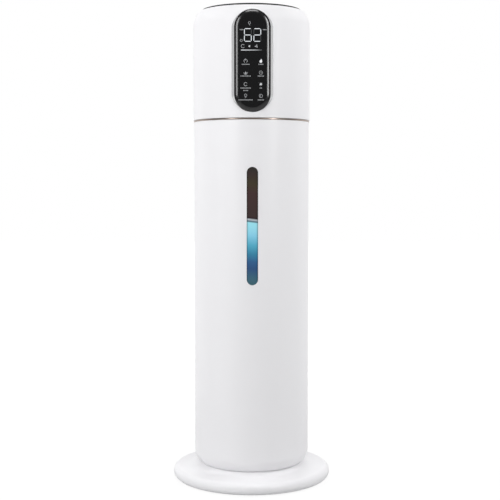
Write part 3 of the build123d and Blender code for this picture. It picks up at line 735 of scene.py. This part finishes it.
def panel_glass():
    """Black glass of the panel, whose edge curves back to the frame."""
    back, front, foot, facing = GLASS_HIGH.y, GLASS_LOW.y, 0.05 * MM, 0.9
    steps = [(width, width * tan(radians(lean))) for lean, width in GLASS_EDGE]
    fit = (back - front - foot) / sum(depth for width, depth in steps)
    glass = upright_plate(
        "panel_glass", PANEL_W, PANEL_H, PANEL_W / 2, back - foot, back, z=PANEL_Z,
        arc_steps=PANEL_ARC_STEPS,
    )
    edit(glass)
    pick("FACE", lambda f: f.normal.y < -facing)
    for width, depth in steps:
        bpy.ops.mesh.inset(thickness=width, depth=depth * fit)
    close_up()
    return hand_over(glass, "head", "black_glass", "panel_lens", sharp=60)


# Symbols on the glass, drawn flat and sized by a radius

INK_BACK = GLASS_LOW.y + 0.06 * MM
INK_FRONT = GLASS_LOW.y - 0.05 * MM


def flat_bar(x, z, width, height, lean=0.0, point=0.0):
    """Flat bar on the glass, its ends pointed where a point is given."""
    rest_tools()
    bpy.ops.mesh.primitive_plane_add(size=1, location=(x, INK_BACK, z), rotation=(pi / 2, lean, 0))
    bar = bpy.context.object
    bar.scale = (width, height, 1)
    settle(bar)
    if point:
        edit(bar)
        bpy.ops.mesh.select_all(action="SELECT")
        bpy.ops.mesh.bevel(offset_type="ABSOLUTE", offset=point, affect="VERTICES", segments=1)
        bpy.ops.object.mode_set(mode="OBJECT")
    return bar


def flat_disc(x, z, radius, corners=28):
    """Flat round spot on the glass."""
    rest_tools()
    place = (x, INK_BACK, z)
    bpy.ops.mesh.primitive_circle_add(
        vertices=corners, radius=radius, fill_type="NGON", location=place, rotation=(pi / 2, 0, 0),
    )
    return settle(bpy.context.object)


def flat_hoop(x, z, radius, width, keep=lambda angle: True, corners=36):
    """Flat ring, of which only the stretch whose angle is kept remains."""
    hoop = flat_disc(x, z, radius, corners)
    edit(hoop)
    bpy.ops.mesh.select_all(action="SELECT")
    bpy.ops.mesh.inset(thickness=width)
    bpy.ops.mesh.delete(type="FACE")
    middle = Vector((x, INK_BACK, z))

    def lost(face):
        spoke = face.calc_center_median() - middle
        return not keep(Vector((spoke.x, spoke.z)).angle_signed(Vector((1, 0)), 0))

    pick("FACE", lost)
    bpy.ops.mesh.delete(type="FACE")
    bpy.ops.object.mode_set(mode="OBJECT")
    return hoop


def flat_drop(x, z, radius, lean=0.0):
    """Solid drop with its tip up, or leaning."""
    narrowing, lengthening = 0.85, 0.9
    drop = flat_disc(0, 0, radius)
    for vertex in drop.data.vertices:
        rise = max(vertex.co.z / radius, 0)
        vertex.co.x *= 1 - narrowing * rise ** 2
        vertex.co.z *= 1 + lengthening * rise
    drop.data.transform(Matrix.Translation((0, -INK_BACK, 0)))
    drop.data.transform(Matrix.Translation((x, INK_BACK, z)) @ Matrix.Rotation(lean, 4, "Y"))
    return drop


def flat_moon(x, z, radius):
    """Crescent: a disc whose right side is folded in."""
    moon = flat_disc(x, z, radius)
    fold = x + 0.2 * radius
    for vertex in moon.data.vertices:
        if vertex.co.x > fold:
            vertex.co.x = 2 * fold - vertex.co.x
    return moon


def sun(x, z, radius):
    """Spot with eight rays."""
    core, reach, long, thin = 0.5 * radius, 0.85 * radius, 0.5 * radius, 0.22 * radius
    angles = [radians(45 * step) for step in range(8)]
    rays = [flat_bar(x + reach * cos(a), z + reach * sin(a), long, thin, lean=-a) for a in angles]
    return [flat_disc(x, z, core)] + rays


def bulb(x, z, radius):
    """Lamp: a ring on a cap of two bars."""
    cap, cap_step = z - 1.35 * radius, 0.45 * radius
    return [
        flat_hoop(x, z, radius, 0.26 * radius),
        flat_bar(x, cap, 0.9 * radius, 0.3 * radius),
        flat_bar(x, cap - cap_step, 0.6 * radius, 0.25 * radius),
    ]


def clock(x, z, radius):
    """Dial with two hands."""
    thin = 0.18 * radius
    return [
        flat_hoop(x, z, radius, 0.2 * radius),
        flat_bar(x, z + 0.25 * radius, thin, 0.6 * radius),
        flat_bar(x + 0.2 * radius, z, 0.5 * radius, thin),
    ]


def power_mark(x, z, radius):
    """Ring open at the top, with an upright bar in the gap."""
    half_gap = 0.55
    return [
        flat_hoop(x, z, radius, 0.24 * radius, keep=lambda a: abs(a + pi / 2) > half_gap),
        flat_bar(x, z + 0.65 * radius, 0.26 * radius, 0.95 * radius),
    ]


def open_ring(x, z, radius):
    """Ring open at the right."""
    half_gap = 0.6
    return [flat_hoop(x, z, radius, 0.24 * radius, keep=lambda a: abs(a) > half_gap)]


def fan_mark(x, z, radius):
    """Three blades round a middle."""
    reach, blade = 0.55 * radius, 0.32 * radius
    leans = [radians(120 * step + 20) for step in range(3)]
    return [flat_drop(x + reach * sin(a), z + reach * cos(a), blade, a + pi) for a in leans]


def night_mark(x, z, radius):
    """Crescent in a ring."""
    return [flat_hoop(x, z, radius, 0.2 * radius), flat_moon(x + 0.1 * radius, z, 0.6 * radius)]


def mist_mark(x, z, radius):
    """Drop in an open ring."""
    drop = flat_drop(x, z - 0.3 * radius, 0.5 * radius)
    ring_end = 0.4
    return [drop, flat_hoop(x, z, 1.05 * radius, 0.18 * radius, keep=lambda a: a < ring_end)]


DIGIT_W, DIGIT_H, STROKE = 9.1 * MM, 16.5 * MM, 0.9 * MM
SEGMENTS = {
    "top": (0, 0.5), "middle": (0, 0), "bottom": (0, -0.5),
    "upper_left": (-0.5, 0.25), "upper_right": (0.5, 0.25),
    "lower_left": (-0.5, -0.25), "lower_right": (0.5, -0.25),
}
UNLIT_IN_SIX = {"upper_right"}
UNLIT_IN_TWO = {"upper_left", "lower_right"}


def digit_segments(x, z, wanted):
    """Bars of one seven-segment digit."""
    level = (DIGIT_W - 1.5 * STROKE, STROKE)
    upright = (STROKE, DIGIT_H / 2 - 1.3 * STROKE)
    point = 0.42 * STROKE
    bars = []
    for segment, (across, up) in SEGMENTS.items():
        if segment in wanted:
            place = (x + across * DIGIT_W, z + up * DIGIT_H)
            size = level if across == 0 else upright
            bars.append(flat_bar(*place, *size, point=point))
    return bars


def dash_row(x, z, width):
    """Row of short dashes, centred on a place."""
    dash, pitch, tall, point = 1.25 * MM, 1.75 * MM, 1.5 * MM, 0.35 * MM
    count = max(2, round(width / pitch))
    start = (count - 1) / 2
    return [flat_bar(x + (step - start) * pitch, z, dash, tall, point=point) for step in range(count)]


def ink(name, shapes, finish):
    """Joins flat shapes, gives them a little thickness and sets them on the glass."""
    piece = join(shapes[0], shapes[1:])
    piece.name = piece.data.name = name
    edit(piece)
    bpy.ops.mesh.select_all(action="SELECT")
    bpy.ops.mesh.extrude_region_move(TRANSFORM_OT_translate={"value": (0, INK_FRONT - INK_BACK, 0)})
    close_up()
    return hand_over(piece, "head", "black_glass", finish=finish)


# Columns and rows of the touch keys, and the row of status symbols above them
KEY_LEFT, KEY_RIGHT = -9.1 * MM, 11.1 * MM
KEY_ROW_1, KEY_ROW_2, KEY_ROW_3, KEY_ROW_4 = 580.2 * MM, 564.8 * MM, 549.6 * MM, 534.2 * MM
STATUS_ROW = 599.5 * MM
KEY_MARK = 2.5 * MM


def lit_digits():
    """The two digits of the display, with their unlit segments."""
    digit_z, six, two = 614.1 * MM, -6.15 * MM, 6.4 * MM
    every = set(SEGMENTS)
    lit = digit_segments(six, digit_z, every - UNLIT_IN_SIX)
    lit += digit_segments(two, digit_z, every - UNLIT_IN_TWO)
    ink("lit_digits", lit, LIT["digits"])
    unlit = digit_segments(six, digit_z, UNLIT_IN_SIX) + digit_segments(two, digit_z, UNLIT_IN_TWO)
    ink("unlit_segments", unlit, LIT["unlit"])


def key_symbols():
    """Bright symbols, then the faint ones, on the display and the keys."""
    ring_x, sun_x, fan_x = -12.7 * MM, -4.1 * MM, 5.2 * MM
    lamp_x, lamp_z, lamp = -4 * MM, 630.2 * MM, 1.7 * MM
    moon_x, moon_z = -14.8 * MM, 606.9 * MM
    spark, small, key_lamp = 1.35 * MM, 1.8 * MM, 1.9 * MM
    drop_down, drop_lean, lamp_up = 0.7 * MM, 0.3, 0.9 * MM
    marks = sun(sun_x, STATUS_ROW, spark)
    marks += [flat_drop(KEY_RIGHT, KEY_ROW_1 - drop_down, small, lean=drop_lean)]
    marks += sun(KEY_RIGHT, KEY_ROW_3, small)
    ink("key_symbols", marks, LIT["marks"])
    faint = bulb(lamp_x, lamp_z, lamp)
    faint += night_mark(moon_x, moon_z, small)
    faint += open_ring(ring_x, STATUS_ROW, KEY_MARK)
    faint += fan_mark(fan_x, STATUS_ROW, KEY_MARK)
    faint += power_mark(KEY_LEFT, KEY_ROW_1, KEY_MARK)
    faint += mist_mark(KEY_LEFT, KEY_ROW_2, KEY_MARK)
    faint += clock(KEY_RIGHT, KEY_ROW_2, KEY_MARK)
    faint += open_ring(KEY_LEFT, KEY_ROW_3, KEY_MARK)
    faint += bulb(KEY_LEFT, KEY_ROW_4 + lamp_up, key_lamp)
    faint += night_mark(KEY_RIGHT, KEY_ROW_4, KEY_MARK)
    ink("faint_symbols", faint, LIT["faint"])


def label_bars():
    """Rows of dashes under the keys and beside the digits."""
    # Middle of each row, then its height above the floor and its width in millimetres
    rows = [
        (KEY_LEFT, 575.7, 10.8), (KEY_RIGHT, 575.7, 7.1),
        (KEY_LEFT, 560.3, 14.8), (KEY_RIGHT, 560.3, 9.3),
        (KEY_LEFT, 544.5, 14.2), (KEY_LEFT, 541.3, 7.4), (KEY_RIGHT, 544.5, 4.0),
        (KEY_LEFT, 528.9, 19.0), (KEY_RIGHT, 528.9, 9.3),
        (-14.5 * MM, 621.1, 5.0), (16.1 * MM, 621.1, 4.8),
    ]
    dashes = [dash for x, z, width in rows for dash in dash_row(x, z * MM, width * MM)]
    ink("label_bars", dashes, LIT["labels"])


def level_bar():
    """Bar under the status symbols that fades to the right."""
    start, stop, bar_z, thick, point = -15.4 * MM, 12.5 * MM, 594.4 * MM, 1 * MM, 0.4 * MM
    bar = flat_bar((start + stop) / 2, bar_z, stop - start, thick, point=point)
    ink("level_bar", [bar], lit_finish("fading level bar", (0.92, 0.95, 0.98), 0.72, fade=(start, stop)))


# Rear of the head

def rear_grille():
    """Curved panel with two columns of slots, cut from a ring."""
    inner, outer = HEAD_R - 2.6 * MM, GRILLE_HIGH.y
    ring_low, ring_high = GRILLE_LOW.z - 1 * MM, GRILLE_HIGH.z + 1 * MM
    grille = turn("rear_grille", [
        (inner, ring_low), (outer, ring_low), (outer, ring_high), (inner, ring_high),
    ], steps=240)
    width, height, corner = GRILLE_HIGH.x - GRILLE_LOW.x, GRILLE_HIGH.z - GRILLE_LOW.z, 5.7 * MM
    blank = upright_plate("blank", width, height, corner, CUT_INSIDE, CUT_OUTSIDE, z=GRILLE_Z)
    saw(grille, blank, "INTERSECT")
    half, tall, half_rib, pitch = 13.2 * MM, 2.6 * MM, 1.6 * MM, 5 * MM
    slot = upright_plate("slots", 2 * half, tall, tall / 2, CUT_INSIDE, CUT_OUTSIDE, arc_steps=6)
    rows = [GRILLE_Z + pitch * step for step in range(-4, 5)]
    slots = copies(slot, [Vector((side * (half + half_rib), 0, z)) for z in rows for side in (-1, 1)])
    saw(grille, slots)
    return hand_over(grille, "grille", "matte_white", "inlet_grille")


def lay_back(piece):
    """Lays a turned piece along the axis of the power inlet, its top to the rear."""
    piece.rotation_euler = (-pi / 2, 0, 0)
    piece.location.z = JACK_Z
    return settle(piece)


def power_socket():
    """Round power inlet with a flange, and the pin in its hole."""
    flange, barrel, hole, pin = 8.8 * MM, 5.5 * MM, 2.9 * MM, 1 * MM
    face, back, floor = JACK_HIGH.y, JACK_LOW.y, 72.3 * MM
    mouth, mouth_depth = hole + 1 * MM, 0.8 * MM
    flange_round, mouth_round, hole_round = 0.6 * MM, 0.5 * MM, 0.3 * MM
    socket = turn("power_socket", [
        (0, back), (barrel, back), (barrel, JACK_SEAT), (flange, JACK_SEAT), (flange, face, flange_round),
        (mouth, face, mouth_round), (hole, face - mouth_depth, hole_round), (hole, floor), (0, floor),
    ], closed=False, steps=48)
    hand_over(lay_back(socket), "head", "black_plastic", "dc_jack")
    tip, tip_round = face - 1 * MM, 0.5 * MM
    contact = turn("socket_pin", [
        (0, floor), (pin, floor), (pin, tip, tip_round), (0, tip),
    ], closed=False, steps=24)
    return hand_over(lay_back(contact), "head", "steel")


# Lead coiled round the guide rod

def coiled_lead():
    """Coil from the chassis plate down to the float; the real lead shortens as the float rises, this coil
    keeps one length.
    """
    turns, steps_a_turn = 20, 16
    wire = 1.2 * MM
    middle = (LEAD_LOW + LEAD_HIGH) / 2
    radius = (LEAD_HIGH.x - LEAD_LOW.x) / 2 - wire
    low, high = LEAD_LOW.z + wire, LEAD_HIGH.z - wire
    count = turns * steps_a_turn
    curve = bpy.data.curves.new("coiled_lead", "CURVE")
    curve.dimensions = "3D"
    curve.bevel_depth = wire
    curve.bevel_resolution = 3
    curve.use_fill_caps = True
    line = curve.splines.new("NURBS")
    line.points.add(count)
    for step, point in enumerate(line.points):
        angle = 2 * pi * step / steps_a_turn
        rise = low + (high - low) * step / count
        point.co = (middle.x + radius * cos(angle), middle.y + radius * sin(angle), rise, 1)
    line.order_u = 3
    line.use_endpoint_u = True
    lead = bpy.data.objects.new("coiled_lead", curve)
    bpy.context.collection.objects.link(lead)
    take(lead)
    bpy.ops.object.convert(target="MESH")
    lead = bpy.context.object
    hand_over(lead, "head", "lead_sheath", "float_lead", sharp=80)
    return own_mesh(lead)


# Studio

def ray_masks(tree):
    """Masks of the rays from the camera or through glass, and of those from a mirror."""
    rays = tree.nodes.new("ShaderNodeLightPath")
    seen = add_math(tree, "MAXIMUM", rays.outputs["Is Camera Ray"], rays.outputs["Is Transmission Ray"])
    return seen, rays.outputs["Is Glossy Ray"]


def floor_finish():
    """Pale floor that keeps the shadow, and goes over into the white backdrop further out."""
    grey, roughness, shine = (0.62, 0.62, 0.62, 1), 0.9, 0.1
    glow_strength, near_share, far = 1.09, 0.84, 8 * FOOT_R
    mirror_start, mirror_end = -0.3, 0.5
    finish = bpy.data.materials.new("studio floor")
    finish.use_nodes = True
    tree = finish.node_tree
    shader = tree.nodes["Principled BSDF"]
    shader.inputs["Base Color"].default_value = grey
    shader.inputs["Roughness"].default_value = roughness
    shader.inputs["Specular IOR Level"].default_value = shine
    glow = tree.nodes.new("ShaderNodeEmission")
    glow.inputs["Strength"].default_value = glow_strength
    seen, mirrored = ray_masks(tree)
    behind = share_along(tree, "Y", mirror_start, mirror_end)
    seen = add_math(tree, "MAXIMUM", seen, add_math(tree, "MULTIPLY", mirrored, behind))
    place = tree.nodes.new("ShaderNodeTexCoord")
    away = tree.nodes.new("ShaderNodeVectorMath")
    away.operation = "LENGTH"
    tree.links.new(place.outputs["Object"], away.inputs[0])
    white = add_range(tree, near_share, 1.0)
    white.interpolation_type = "SMOOTHSTEP"
    white.inputs["From Min"].default_value = FOOT_R
    white.inputs["From Max"].default_value = far
    tree.links.new(away.outputs["Value"], white.inputs["Value"])
    mix = tree.nodes.new("ShaderNodeMixShader")
    tree.links.new(add_math(tree, "MULTIPLY", seen, white.outputs["Result"]), mix.inputs["Fac"])
    tree.links.new(shader.outputs["BSDF"], mix.inputs[1])
    tree.links.new(glow.outputs["Emission"], mix.inputs[2])
    tree.links.new(mix.outputs["Shader"], tree.nodes["Material Output"].inputs["Surface"])
    return finish


def studio_floor():
    """Wide floor under the foot."""
    across = 12
    rest_tools()
    bpy.ops.mesh.primitive_plane_add(size=across)
    floor = bpy.context.object
    floor.name = "studio_floor"
    floor.data.materials.append(floor_finish())


def studio_world():
    """Even soft light; white to the camera and glass, and to mirrors where they face the backdrop."""
    soft_colour, soft_strength = (0.97, 0.98, 1.0, 1), 0.16
    backdrop_start, backdrop_end = -0.1, 0.4
    world = bpy.data.worlds.new("studio")
    world.use_nodes = True
    bpy.context.scene.world = world
    tree = world.node_tree
    soft = tree.nodes["Background"]
    soft.inputs["Color"].default_value = soft_colour
    soft.inputs["Strength"].default_value = soft_strength
    white = tree.nodes.new("ShaderNodeBackground")
    white.inputs["Color"].default_value = (1, 1, 1, 1)
    place = tree.nodes.new("ShaderNodeTexCoord")
    split = tree.nodes.new("ShaderNodeSeparateXYZ")
    tree.links.new(place.outputs["Generated"], split.inputs["Vector"])
    backdrop = tree.nodes.new("ShaderNodeMapRange")
    backdrop.inputs["From Min"].default_value = backdrop_start
    backdrop.inputs["From Max"].default_value = backdrop_end
    tree.links.new(split.outputs["Y"], backdrop.inputs["Value"])
    mix = tree.nodes.new("ShaderNodeMixShader")
    seen, mirrored = ray_masks(tree)
    mirrored = add_math(tree, "MULTIPLY", mirrored, backdrop.outputs["Result"])
    tree.links.new(add_math(tree, "MAXIMUM", seen, mirrored), mix.inputs["Fac"])
    tree.links.new(soft.outputs["Background"], mix.inputs[1])
    tree.links.new(white.outputs["Background"], mix.inputs[2])
    tree.links.new(mix.outputs["Shader"], tree.nodes["World Output"].inputs["Surface"])


def look_at(holder, place, aim):
    """Puts a lamp or camera at a place, facing a point."""
    holder.location = place
    holder.rotation_euler = (Vector(aim) - Vector(place)).to_track_quat("-Z", "Y").to_euler()
    bpy.context.collection.objects.link(holder)


def soft_box(name, place, aim, width, height, radiance, mirrored=True):
    """Flat lamp of an even radiance, turned to face a point."""
    lamp = bpy.data.lights.new(name, "AREA")
    lamp.shape = "RECTANGLE"
    lamp.size, lamp.size_y = width, height
    lamp.energy = radiance * pi * width * height
    box = bpy.data.objects.new(name, lamp)
    box.visible_camera = False
    box.visible_glossy = mirrored
    look_at(box, place, aim)


def studio_lamps():
    """Two strips that show as streaks on the body, a box above, and fill lamps that no mirror shows."""
    middle, head = (0, 0, 0.45), (0, 0, 0.7)
    soft_box("left_strip", (-1.15, -1.45, 1.1), middle, 0.36, 1.2, 6.0)
    soft_box("right_strip", (1.20, -1.40, 1.1), middle, 0.30, 1.2, 9.9)
    soft_box("top_box", (0, -0.98, 2.2), middle, 0.95, 0.5, 6.6)
    soft_box("left_side", (-1.45, -0.7, 0.75), middle, 0.4, 0.8, 7.2, mirrored=False)
    soft_box("left_wall", (-1.5, 0.1, 1.35), head, 0.9, 0.8, 3.9, mirrored=False)
    soft_box("right_wall", (1.5, 0.1, 1.35), head, 0.9, 0.8, 5.8, mirrored=False)
    soft_box("back_box", (0, 1.7, 1.5), middle, 1.2, 0.8, 4.5, mirrored=False)


def photo_camera():
    """Camera at the photograph's place, a little left of the axis and above the middle."""
    eye, aim = (-0.0229, -1.496, 0.4193), (-0.0021, 0, 0.3240)
    camera = bpy.data.cameras.new("photo_camera")
    camera.sensor_width = 36
    camera.lens = 76.1
    camera.clip_start = 0.05
    holder = bpy.data.objects.new("photo_camera", camera)
    look_at(holder, eye, aim)
    bpy.context.scene.camera = holder


dress_cad_nodes()
round_foot()
foot_pads()
cross_screws()
tank_body()
seam_ring()
head_casing()
top_ring()
top_dish()
nozzle_cap()
panel_frame()
panel_glass()
lit_digits()
key_symbols()
label_bars()
level_bar()
rear_grille()
power_socket()
coiled_lead()
studio_floor()
studio_world()
studio_lamps()
photo_camera()
bpy.context.scene.view_settings.view_transform = "Standard"
